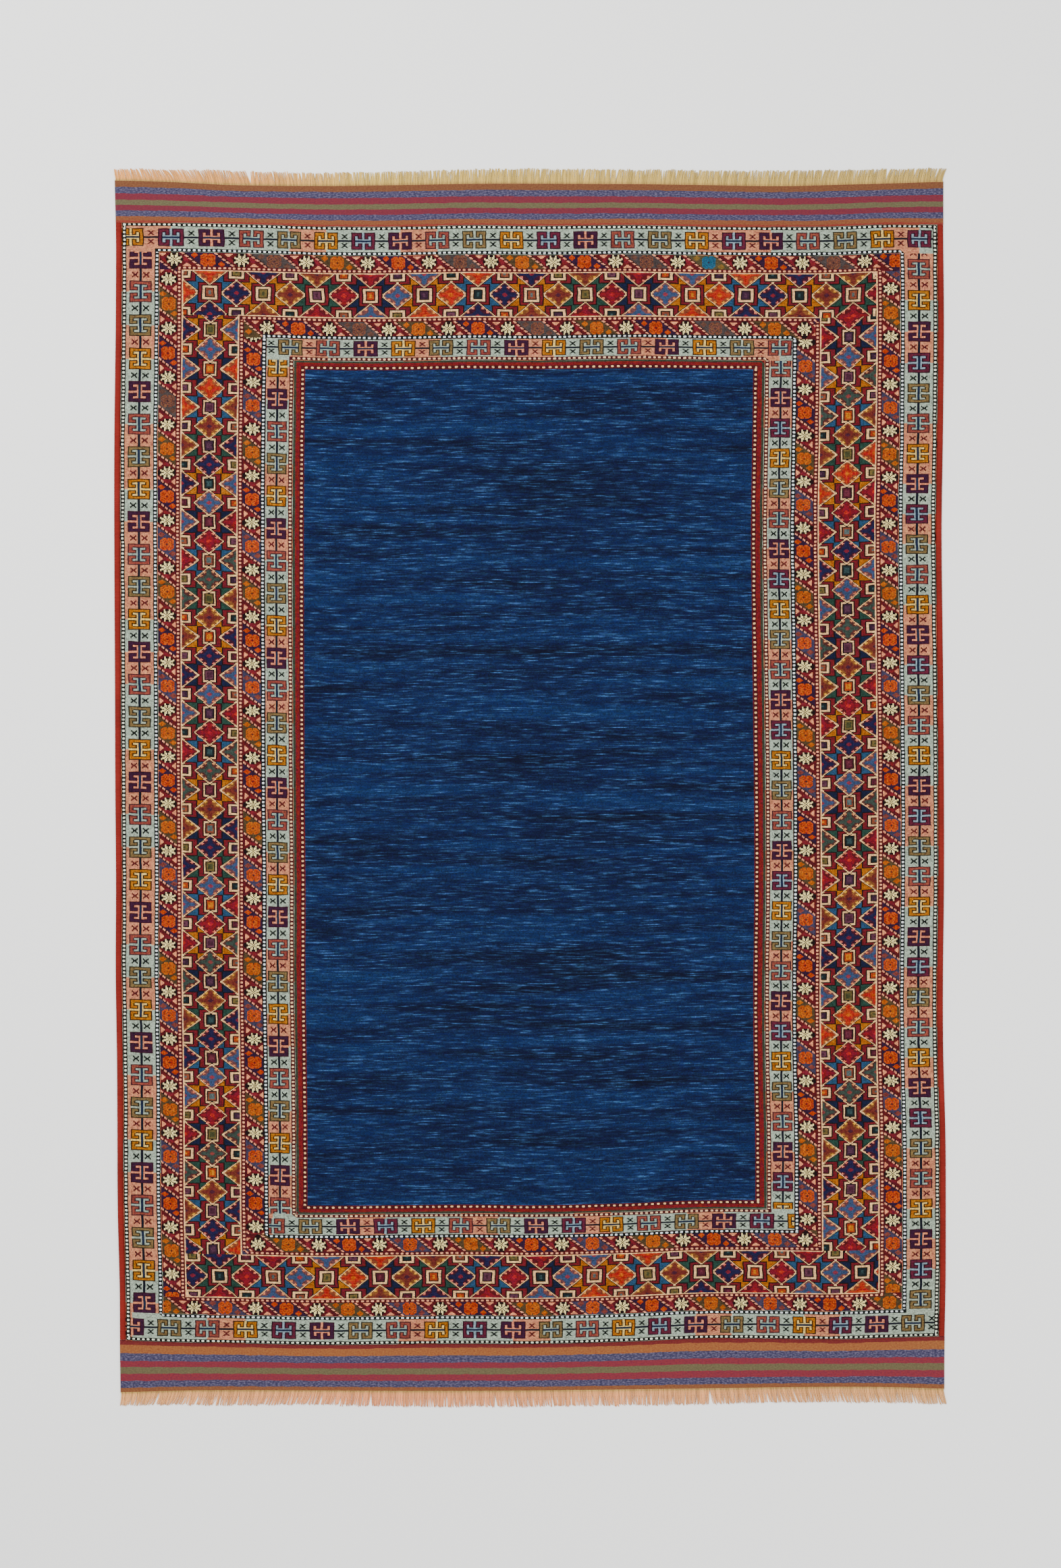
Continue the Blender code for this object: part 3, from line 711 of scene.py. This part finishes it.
def main_border(tree, counted, lines, start):
    """The lattice, with each square, lozenge and arm in its own wools, edged by pale lines."""
    period = 2 * LATTICE
    along, inward = counted
    depth = add_node(tree, "ShaderNodeMath", (inward, float(start)), operation="SUBTRACT")
    u = folded(tree, add_node(tree, "ShaderNodeMath", (along,), operation="FLOOR"), period)
    v = folded(tree, add_node(tree, "ShaderNodeMath", (depth,), operation="FLOOR"), period)
    sideways = add_node(tree, "ShaderNodeMath", (along, period * (2.0 * SIDE_REPEATS - SIDE_MARGIN)),
                        operation="GREATER_THAN")
    charts = [read_chart(tree, lattice_chart(sizes), u, v) for sizes in (LATTICE_ENDS, LATTICE_SIDES)]
    letter = add_node(tree, "ShaderNodeMix", (sideways, *charts), data_type="FLOAT")
    by_arm = add_node(tree, "ShaderNodeMath", (along, float(period)), operation="DIVIDE")
    by_arm = add_node(tree, "ShaderNodeMath", (by_arm,), operation="FLOOR")
    by_line = add_node(tree, "ShaderNodeMath", (along, 1.0 / period, 0.5), operation="MULTIPLY_ADD")
    by_line = add_node(tree, "ShaderNodeMath", (by_line,), operation="FLOOR")
    inner_half = add_node(tree, "ShaderNodeMath", (depth, float(LATTICE)), operation="GREATER_THAN")
    at_edge = add_node(tree, "ShaderNodeMath", (inner_half, by_arm), operation="ADD")
    on_line = add_node(tree, "ShaderNodeMath", (v, u), operation="GREATER_THAN")
    lozenge = add_node(tree, "ShaderNodeMix", (on_line, at_edge, by_line), data_type="FLOAT")
    lozenge = add_node(tree, "ShaderNodeMath", (lozenge, 1.0), operation="SUBTRACT")
    lozenge = in_order(tree, lozenge, LOZENGES)
    total = add_node(tree, "ShaderNodeMath", (u, v), operation="ADD")
    beyond = add_node(tree, "ShaderNodeMath", (total, LATTICE - 0.5), operation="GREATER_THAN")
    corner = add_node(tree, "ShaderNodeMath", (inner_half, 3.0, by_line), operation="MULTIPLY_ADD")
    square = add_node(tree, "ShaderNodeMix", (beyond, corner, by_arm), data_type="FLOAT")
    square = in_order(tree, square, SQUARES)
    band = dyed(tree, in_order(tree, by_arm, ARMS), ARM_WOOL)
    for name, wool in (("W", "e0b076"), ("K", "120909"), ("C", "62131c"),
                       ("N", dyed(tree, lozenge, LOZENGE_NOTCH)), ("R", dyed(tree, lozenge, LOZENGE_HEART)),
                       ("P", dyed(tree, lozenge, LOZENGE_MIDDLE)),
                       ("Q", dyed(tree, lozenge, LOZENGE_GROUND)),
                       ("A", dyed(tree, square, SQUARE_HEART)), ("B", dyed(tree, square, SQUARE_WOOL))):
        band = colour_letter(tree, band, letter, name, wool)
    zone = between(tree, lines[1], float(start), float(start + period))
    return add_node(tree, "ShaderNodeMix", (zone, "eeb479", band), data_type="RGBA")


material, tree, output = new_material("knotted_wool_main_border")
knots, lines, chart_knots = band_maps(tree)
colour = main_border(tree, chart_knots, lines, 1)
finish_pile(tree, output, colour, knots)
piece, *ring = pile_ring("pile_main_border", 48, 94, material)
chart_map(piece, ring, 2 * LATTICE, (
    ((70.3, 0.5), (584.6, 12.5)), ((61.9, 0.5), (576.4, 12.5)),
    ((68.3, 0.5), (1121.4, 26.5)), ((76.8, 0.5), (1106.9, 25.5))))
place_pile(piece)

# The inner slanted band, between its own two guard lines.
material, tree, output = new_material("knotted_wool_slanted_band_inner")
knots, lines, chart_knots = band_maps(tree)
colour = slanted_band(tree, *chart_knots, 4, ("ORM", "BOM", "OBMOBMOBMOMBOMBOMBO", "BMO"))
colour = dotted_guard(tree, colour, lines, 0, "efa074", "480d13")
colour = dotted_guard(tree, colour, lines, 18, "e7efef", "0c100f")
finish_pile(tree, output, colour, knots)
piece, *ring = pile_ring("pile_slanted_band_inner", 94, 116, material)
chart_map(piece, ring, SLANT_PERIOD, (
    ((115.4, 0.4), (165.6, 1.4), (545.0, 9.4)), ((106.9, 0.4), (544.6, 9.4)),
    ((113.7, 0.4), (161.7, 1.4), (1055.8, 19.4)), ((127.0, 0.4), (1011.3, 18.4))))
place_pile(piece)

# The inner hook band, a little narrower than the outer one.
material, tree, output = new_material("knotted_wool_hook_band_inner")
knots, lines, chart_knots = band_maps(tree)
colour = hook_band(tree, *chart_knots, 1, 16, ("TSPA", "AWPTS", "APST", "AWPST"),
                   ("CQQ", "QQC", "CQQCQ", "QCQCQ"))
colour = dotted_guard(tree, colour, lines, 18, "efc092", "400d12")
finish_pile(tree, output, colour, knots)
piece, *ring = pile_ring("pile_hook_band_inner", 116, 138, material)
chart_map(piece, ring, HOOK_PERIOD, (
    ((134.9, 0), (526.0, 13)), ((141.9, 1), (502.9, 13)), ((145.0, 0), (1035.7, 26)),
    ((134.8, 0), (1035.0, 28))))
place_pile(piece)

# The innermost stripes: olive, then red, then a last dotted guard line around the field.
material, tree, output = new_material("knotted_wool_inner_stripes")
knots, lines, chart_knots = band_maps(tree)
stripe = between(tree, lines[1], 0.0, 2.0)
colour = add_node(tree, "ShaderNodeMix", (stripe, "6b1216", "303629"), data_type="RGBA")
colour = dotted_guard(tree, colour, lines, 5, "efbd84", "400d12", 5.0)
finish_pile(tree, output, colour, knots)
piece, *ring = pile_ring("pile_inner_stripes", 138, 147, material, 3.0)
chart_map(piece, ring, 1, 4 * (((0.0, 0), (1.0, 1)),))
place_pile(piece)

# The field: plain indigo-dyed wool. Each dye lot differs, so its rows change shade, and
# thin rows of paler wool show as short streaks across.
material, tree, output = new_material("knotted_indigo_wool_field")
knots = add_node(tree, "ShaderNodeUVMap", uv_map="Knots")
stretch = add_node(tree, "ShaderNodeVectorMath", (knots, (0.0043, 0.055, 0.0)), operation="MULTIPLY")
lots = add_node(tree, "ShaderNodeTexNoise", {"Vector": stretch, "Scale": 1.0, "Detail": 5.0})
colour = add_node(tree, "ShaderNodeValToRGB", (lots,), stops=[
    (0.32, "050820", "LINEAR"), (0.46, "071133"), (0.58, "0b1d44"), (0.70, "0d254c")])
rows = add_node(tree, "ShaderNodeVectorMath", (knots, (0.055, 1.0, 0.0)), operation="MULTIPLY")
split = add_node(tree, "ShaderNodeSeparateXYZ", (rows,)).node
row_number = add_node(tree, "ShaderNodeMath", (split.outputs[1],), operation="FLOOR")
row_phase = add_node(tree, "ShaderNodeTexWhiteNoise", {"W": row_number}, noise_dimensions="1D")
row_phase = add_node(tree, "ShaderNodeMath", (row_phase, 40.0), operation="MULTIPLY")
row_turn = add_node(tree, "ShaderNodeMath", (row_number, 0.637), operation="MULTIPLY")
row_start = add_node(tree, "ShaderNodeMath", (split.outputs[0], row_phase), operation="ADD")
row_place = add_node(tree, "ShaderNodeCombineXYZ", (row_start, row_turn, 0.0))
streaks = add_node(tree, "ShaderNodeTexNoise", {"Vector": row_place, "Scale": 1.0, "Detail": 2.0})
pale = add_node(tree, "ShaderNodeValToRGB", (streaks,), stops=[
    (0.44, 0.0, "LINEAR"), (0.55, 0.08), (0.63, 0.3), (0.72, 0.9)])
colour = add_node(tree, "ShaderNodeMix", (pale, colour, "355d8f"), data_type="RGBA")
finish_pile(tree, output, colour, knots)
i, j = np.meshgrid(np.linspace(BORDER_KNOTS, KNOTS_ACROSS - BORDER_KNOTS, 61),
                   np.linspace(BORDER_KNOTS, KNOTS_DOWN - BORDER_KNOTS, 121))
x, y = pile_place(i, j)
piece, corners, _ = slab("pile_field", x, y, pile_height(i, j, x, y),
                         np.full_like(x, FOUNDATION_THICKNESS), np.ones((120, 60), bool), material)
give_map(piece, "Knots", np.stack([i.ravel()[corners], j.ravel()[corners]], -1))
place_pile(piece)

# The flat-woven ends: coloured weft packed over the warps in stripes, with no knots. Two of
# the stripes are of blue and violet yarns twisted together, so they look flecked.
WOVEN_TOP = 3.0 * MM
STRIPES_TOP = ((0.0, "762719"), (0.05, "703d1f"), (0.155, "373149"), (0.29, "601c2a"), (0.42, "544e36"),
               (0.545, "621c2a"), (0.70, "37324a"), (0.85, "663c21"))
STRIPES_BOTTOM = ((0.0, "5f1515"), (0.085, "7f471c"), (0.25, "3c374d"), (0.395, "6b1c29"),
                  (0.515, "564d34"), (0.645, "6b1c29"), (0.785, "38344b"), (0.915, "704020"))


def woven_end(name, stripes, flecked, pile_line, root_line, root_is_up):
    """One flat-woven end: a thin ribbed slab between the pile and the fringe, and its stripes."""
    material, tree, output = new_material(f"weft_faced_wool_{name}")
    ribs = add_node(tree, "ShaderNodeUVMap", uv_map="Weave")
    wander = add_node(tree, "ShaderNodeTexNoise", {"Vector": ribs, "Scale": 0.11, "Detail": 6.0})
    split = add_node(tree, "ShaderNodeSeparateXYZ", (ribs,)).node
    share = add_node(tree, "ShaderNodeMath", (split.outputs[1], 1.0 / 40.0), operation="MULTIPLY")
    share = add_node(tree, "ShaderNodeMath", (wander, 0.05, share), operation="MULTIPLY_ADD")
    share = add_node(tree, "ShaderNodeMath", (share, 0.025), operation="SUBTRACT")
    colour = add_node(tree, "ShaderNodeValToRGB", (share,), stops=stripes)
    fleck_place = add_node(tree, "ShaderNodeVectorMath", (ribs, (0.5, 1.0, 1.0)), operation="MULTIPLY")
    fleck = add_node(tree, "ShaderNodeTexNoise", {"Vector": fleck_place, "Scale": 1.0, "Detail": 3.0})
    flecks = add_node(tree, "ShaderNodeValToRGB", (fleck,), stops=[
        (0.35, "2d2845", "LINEAR"), (0.5, "3b374f"), (0.66, "554f64")])
    blue = 0.0
    for number, stop in enumerate(stripes):
        if number in flecked:
            stripe = between(tree, share, stop[0], stripes[number + 1][0])
            blue = add_node(tree, "ShaderNodeMath", (stripe, blue), operation="ADD")
    colour = add_node(tree, "ShaderNodeMix", (blue, colour, flecks), data_type="RGBA")
    fuzz = add_node(tree, "ShaderNodeTexNoise", {"Vector": ribs, "Scale": 0.7, "Detail": 4.0})
    value = add_node(tree, "ShaderNodeMath", (fleck, 0.7, 0.3), operation="MULTIPLY_ADD")
    value = add_node(tree, "ShaderNodeMath", (fuzz, 0.7, value), operation="MULTIPLY_ADD")
    hue = add_node(tree, "ShaderNodeMath", (fuzz, 0.05, 0.475), operation="MULTIPLY_ADD")
    colour = add_node(tree, "ShaderNodeHueSaturation", {"Hue": hue, "Saturation": 0.94, "Value": value,
                                                        "Color": colour})
    turn = add_node(tree, "ShaderNodeMath", (split.outputs[0], np.pi), operation="MULTIPLY")
    rib = add_node(tree, "ShaderNodeMath", (add_node(tree, "ShaderNodeMath", (turn,), operation="SINE"),),
                   operation="ABSOLUTE")
    height = add_node(tree, "ShaderNodeMath", (fleck, 0.8, rib), operation="MULTIPLY_ADD")
    bump = add_node(tree, "ShaderNodeBump", {"Height": height, "Strength": 0.5, "Distance": 0.0006})
    shader = add_node(tree, "ShaderNodeBsdfPrincipled",
                      {"Base Color": colour, "Roughness": 0.95, "Normal": bump, "Specular IOR Level": 0.12})
    tree.links.new(shader, output.inputs["Surface"])
    across, out = np.meshgrid(np.linspace(0.0, 1.0, 121), np.linspace(0.0, 1.0, 9))
    if root_is_up:
        out = 1.0 - out
    nominal = (LINE_PLACE[pile_line] * (1.0 - out) + LINE_PLACE[root_line] * out) * MM
    x = edge_x("left", nominal) * (1.0 - across) + edge_x("right", nominal) * across
    y = line_y(pile_line, x) * (1.0 - out) + line_y(root_line, x) * out
    rim = np.minimum(across, 1.0 - across) * 700.0
    z = WOVEN_TOP + 0.25 * MM * np.sin(40.0 * x) * np.sin(60.0 * y) - 0.8 * MM * np.exp(-rim)
    piece, corners, _ = slab(name, x, y, z, np.full_like(x, FOUNDATION_THICKNESS),
                             np.ones((8, 120), bool), material)
    weave = np.stack([across * 660.0, out * 40.0], -1).reshape(-1, 2)
    give_map(piece, "Weave", weave[corners])
    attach(piece, "root")
    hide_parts("rug_body")
    return piece


woven_ends = [woven_end("woven_end_top", STRIPES_TOP, (2, 6), "top_pile", "top_root", True),
              woven_end("woven_end_bottom", STRIPES_BOTTOM, (2, 6), "bottom_pile", "bottom_root", False)]

# The sides: red wool wound over and over a bundle of warps, so every turn stands up as a
# fine ridge across a rounded edge. Flat below, where it lies on the floor.
SELVEDGE_THICKNESS = 7.0 * MM
TURN_PITCH = 3.2 * MM
TURN_HEIGHT = 0.35 * MM


def ribbon(rings):
    """Points and faces of a closed tube given as rings of points: ring by corner by x, y, z."""
    count, corners = rings.shape[:2]
    number = np.arange(count * corners).reshape(count, corners)
    near, far = number[:-1], number[1:]
    turned = (np.roll(near, -1, 1), np.roll(far, -1, 1))
    faces = np.stack([near, turned[0], turned[1], far], -1).reshape(-1, 4).tolist()
    faces += [number[0][::-1].tolist(), number[-1].tolist()]
    return rings.reshape(-1, 3), faces


def overcast_edge(side, outward):
    """One bound side: a flat-bottomed arch carried along the pile's edge.

    At distance s along and a share w of the way out, the height is
    thickness (0.35 + 0.65 sin(pi w)) + ridge cos(2 pi (s / pitch + 0.4 w)).
    """
    material, tree, output = new_material(f"overcast_red_wool_{side}")
    place = add_node(tree, "ShaderNodeTexCoord").node.outputs["Object"]
    along = add_node(tree, "ShaderNodeVectorMath", (place, (60.0, 900.0, 60.0)), operation="MULTIPLY")
    yarn = add_node(tree, "ShaderNodeTexNoise", {"Vector": along, "Scale": 1.0, "Detail": 3.0})
    lot = add_node(tree, "ShaderNodeTexNoise", {"Vector": place, "Scale": 9.0, "Detail": 2.0})
    value = add_node(tree, "ShaderNodeMath", (yarn, 0.9, 0.15), operation="MULTIPLY_ADD")
    value = add_node(tree, "ShaderNodeMath", (lot, 0.8, value), operation="MULTIPLY_ADD")
    colour = add_node(tree, "ShaderNodeHueSaturation", {"Value": value, "Color": "721d17"})
    bump = add_node(tree, "ShaderNodeBump", {"Height": yarn, "Strength": 0.4, "Distance": 0.0006})
    shader = add_node(tree, "ShaderNodeBsdfPrincipled",
                      {"Base Color": colour, "Roughness": 0.92, "Normal": bump, "Specular IOR Level": 0.12})
    tree.links.new(shader, output.inputs["Surface"])
    low = line_y("bottom_pile", outward) + 2.0 * GAP
    high = line_y("top_pile", outward) - 2.0 * GAP
    y = np.linspace(low, high, int((high - low) / (0.25 * TURN_PITCH)))[:, None]
    w = 0.5 - 0.5 * np.cos(np.linspace(0.0, np.pi, 7))[None, :]
    edge = edge_x("left" if outward < 0 else "right", y)
    ridge = TURN_HEIGHT * np.cos(2.0 * np.pi * (y / TURN_PITCH + 0.4 * w))
    x = edge - outward * (SELVEDGE_WIDTH - GAP) * (1.0 - w) - outward * TURN_HEIGHT * (w > 0.9)
    x = x + outward * ridge * np.where(w > 0.9, 0.6, 0.0)
    z = SELVEDGE_THICKNESS * (0.35 + 0.65 * np.sin(np.pi * w)) - TURN_HEIGHT + ridge
    arch = np.stack([x, np.broadcast_to(y, x.shape), z], -1)
    floor_line = [arch[:, k] * (1.0, 1.0, 0.0) for k in (-1, 0)]
    rings = np.concatenate([arch, np.stack(floor_line, 1)], 1)
    points, faces = ribbon(rings if outward > 0 else rings[:, ::-1])
    piece = new_piece(f"overcast_edge_{side}", points, faces, material, smooth=True)
    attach(piece, "root")
    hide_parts(f"selvedge_{side}")
    return piece


edges = [overcast_edge("left", -1.0), overcast_edge("right", 1.0)]

# The fringe: the warps' own ends, undyed wool in pairs, held by a row of twining against the
# woven end. They lean and part where they have been brushed and trodden.
FRINGE_COLUMNS = ("x", "top_lean", "top_length", "bottom_lean", "bottom_length")
FRINGE_ROWS = (
    (-1000.0, -4.0, 29.0, -3.0, 32.0), (-860.0, -16.0, 30.0, -13.0, 34.0),
    (-740.0, -9.0, 36.0, -8.0, 38.0), (-550.0, -3.0, 32.0, -10.0, 34.0),
    (-350.0, 0.0, 33.0, -2.0, 38.0), (0.0, 2.0, 36.0, 4.0, 39.0), (400.0, 5.0, 35.0, 1.0, 39.0),
    (620.0, 5.0, 38.0, 8.0, 37.0), (1000.0, 8.0, 33.0, 8.0, 38.0),
)
WARP_PAIRS = 306
STRANDS_PER_PAIR = 3
STRAND_RADIUS = 1.2 * MM
TWINE_PITCH = 6.5 * MM


def fringe_value(name, x):
    """The lean or the length of the fringe at places across."""
    rows = np.array(FRINGE_ROWS)
    return np.interp(x / MM, rows[:, 0], rows[:, FRINGE_COLUMNS.index(name)]) * MM


def warp_fringe(end_name, outward, partings, tints, seed):
    """One end's fringe: a twined row of warp ends, and their strands lying out from it.

    A strand starts at its place on the root line and runs out by its length times t, aside by
    its lean times t^1.4 and a small wave, thinning as 1 - 0.35 t^3. Partings are places in
    metres with the half width of the gap that opens there by the tips.
    """
    material, tree, output = new_material(f"undyed_wool_warp_{end_name}")
    strand = add_node(tree, "ShaderNodeUVMap", uv_map="Strand")
    split = add_node(tree, "ShaderNodeSeparateXYZ", (strand,)).node
    number = add_node(tree, "ShaderNodeMath", (split.outputs[0],), operation="FLOOR")
    share = add_node(tree, "ShaderNodeMath", (number, 1.0 / (WARP_PAIRS * STRANDS_PER_PAIR)),
                     operation="MULTIPLY")
    tint = add_node(tree, "ShaderNodeValToRGB", (share,), stops=tints)
    rooted = add_node(tree, "ShaderNodeValToRGB", (split.outputs[1],),
                      stops=[(0.0, 1.0, "LINEAR"), (0.12, 0.4), (0.3, 0.0)])
    colour = add_node(tree, "ShaderNodeMix", (rooted, tint, "af8d4e"), data_type="RGBA")
    shade = add_node(tree, "ShaderNodeTexWhiteNoise", {"W": number}, noise_dimensions="1D")
    place = add_node(tree, "ShaderNodeTexCoord").node.outputs["Object"]
    fibre = add_node(tree, "ShaderNodeTexNoise", {"Vector": place, "Scale": 700.0, "Detail": 2.0})
    value = add_node(tree, "ShaderNodeMath", (shade, 0.5, 0.42), operation="MULTIPLY_ADD")
    value = add_node(tree, "ShaderNodeMath", (fibre, 0.5, value), operation="MULTIPLY_ADD")
    colour = add_node(tree, "ShaderNodeHueSaturation", {"Value": value, "Color": colour})
    bump = add_node(tree, "ShaderNodeBump", {"Height": fibre, "Strength": 0.4, "Distance": 0.0005})
    shader = add_node(tree, "ShaderNodeBsdfPrincipled",
                      {"Base Color": colour, "Roughness": 0.9, "Normal": bump, "Specular IOR Level": 0.15})
    tree.links.new(shader, output.inputs["Surface"])

    random = np.random.default_rng(seed)
    line = f"{end_name}_root"
    left = edge_x("left", LINE_PLACE[line] * MM) + 2.0 * MM
    right = edge_x("right", LINE_PLACE[line] * MM) - 2.0 * MM
    count = WARP_PAIRS * STRANDS_PER_PAIR
    pair = np.repeat(np.arange(WARP_PAIRS), STRANDS_PER_PAIR)
    member = np.tile(np.arange(STRANDS_PER_PAIR), WARP_PAIRS) - 0.5 * (STRANDS_PER_PAIR - 1)
    root = left + (right - left) * (pair + 0.5) / WARP_PAIRS
    aside = fringe_value(f"{end_name}_lean", root)
    pair_drift = 1.1 * MM * random.standard_normal(WARP_PAIRS)
    clump = 1.1 * MM * np.sin(root / (9.0 * MM) + 2.0 * np.sin(root / (41.0 * MM)))
    aside = aside + pair_drift[pair] + clump + 0.8 * MM * random.standard_normal(count)
    for parting, gap in partings:
        away = root - parting
        aside = aside + np.where(away > 0, 1.0, -1.0) * gap * np.exp(-np.abs(away) / (3.0 * gap))
    reach = fringe_value(f"{end_name}_length", root)
    reach = reach + 1.0 * MM * random.standard_normal(WARP_PAIRS)[pair] - 3.0 * MM * random.random(count)
    reach = np.clip(reach, 24.0 * MM, 41.0 * MM)
    wave, phase = 0.7 * MM * random.standard_normal(count), 2.0 * np.pi * random.random(count)
    t = np.linspace(0.0, 1.0, 7)[None, :]
    x = (root + member * 2.1 * MM)[:, None] + aside[:, None] * t ** 1.4
    x = x + wave[:, None] * t * np.sin(5.0 * t + phase[:, None])
    y = line_y(line, root)[:, None] + outward * (0.8 * MM + reach[:, None] * t)
    z = (2.2 - 0.9 * t + 0.25 * np.sin(4.0 * t + phase[:, None])) * MM
    radius = STRAND_RADIUS * (1.0 - 0.35 * t ** 3)
    spin = np.linspace(0.0, 2.0 * np.pi, 5, endpoint=False)[None, None, :] + 2.0 * t[..., None]
    rings = np.stack([x[..., None] + radius[..., None] * np.cos(spin),
                      np.broadcast_to(y[..., None], (*x.shape, 5)),
                      z[..., None] + 0.8 * radius[..., None] * np.sin(spin)], -1)
    points, faces, numbers, shares = [], [], [], []
    for each in range(count):
        part, loops = ribbon(rings[each] if outward < 0 else rings[each][:, ::-1])
        faces += [[corner + 35 * each for corner in loop] for loop in loops]
        points.append(part)
    points = np.concatenate(points)
    numbers = np.repeat(np.arange(count) + 0.5, 35)
    shares = np.tile(np.repeat(t[0], 5), count)

    # The twined row: a two-ply cord along the root line, slanting over each pair of warps.
    x = np.linspace(left - 1.5 * MM, right + 1.5 * MM, int((right - left) / (0.25 * TWINE_PITCH)))[:, None]
    around = np.linspace(0.0, 2.0 * np.pi, 6, endpoint=False)[None, :]
    lump = 1.0 + 0.28 * np.cos(2.0 * around - 2.0 * np.pi * x / TWINE_PITCH)
    cord_y = line_y(line, x) + outward * (0.9 * MM + 1.2 * MM * lump * np.cos(around))
    cord_z = 2.2 * MM + 1.2 * MM * lump * np.sin(around)
    cord = np.stack([np.broadcast_to(x, cord_y.shape), cord_y, cord_z], -1)
    part, loops = ribbon(cord if outward > 0 else cord[:, ::-1])
    faces += [[corner + len(points) for corner in loop] for loop in loops]
    cord_number = (part[:, 0] - left) / (right - left) * count
    points = np.concatenate([points, part])
    piece = new_piece(f"warp_fringe_{end_name}", points, faces, material, smooth=True)
    corners = np.concatenate([np.array(loop) for loop in faces])
    numbers = np.concatenate([numbers, np.clip(cord_number, 0.5, count - 0.5)])
    shares = np.concatenate([shares, np.zeros(len(part))])
    give_map(piece, "Strand", np.stack([numbers[corners], shares[corners]], -1))
    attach(piece, "root")
    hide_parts(f"fringe_{end_name}")
    return piece


TOP_PARTINGS = ((-0.677, 0.006), (-0.641, 0.0025), (-0.550, 0.0025), (-0.361, 0.003), (0.025, 0.003),
                (0.128, 0.003), (0.206, 0.0035), (0.348, 0.003), (0.454, 0.003), (0.581, 0.003),
                (0.705, 0.003), (0.804, 0.003), (0.861, 0.004))
BOTTOM_PARTINGS = ((-0.894, 0.006), (-0.754, 0.003), (-0.580, 0.003), (-0.381, 0.004), (-0.203, 0.003),
                   (-0.087, 0.003), (0.167, 0.003), (0.434, 0.007), (0.573, 0.003), (0.752, 0.003),
                   (0.923, 0.003))
fringes = [
    warp_fringe("top", 1.0, TOP_PARTINGS,
                [(0.0, "e39d57", "LINEAR"), (0.18, "d79a55"), (0.3, "ccac59"), (1.0, "bb9e57")], 11),
    warp_fringe("bottom", -1.0, BOTTOM_PARTINGS,
                [(0.0, "e9aa6c", "LINEAR"), (0.3, "eb9a68"), (1.0, "dba266")], 23)]
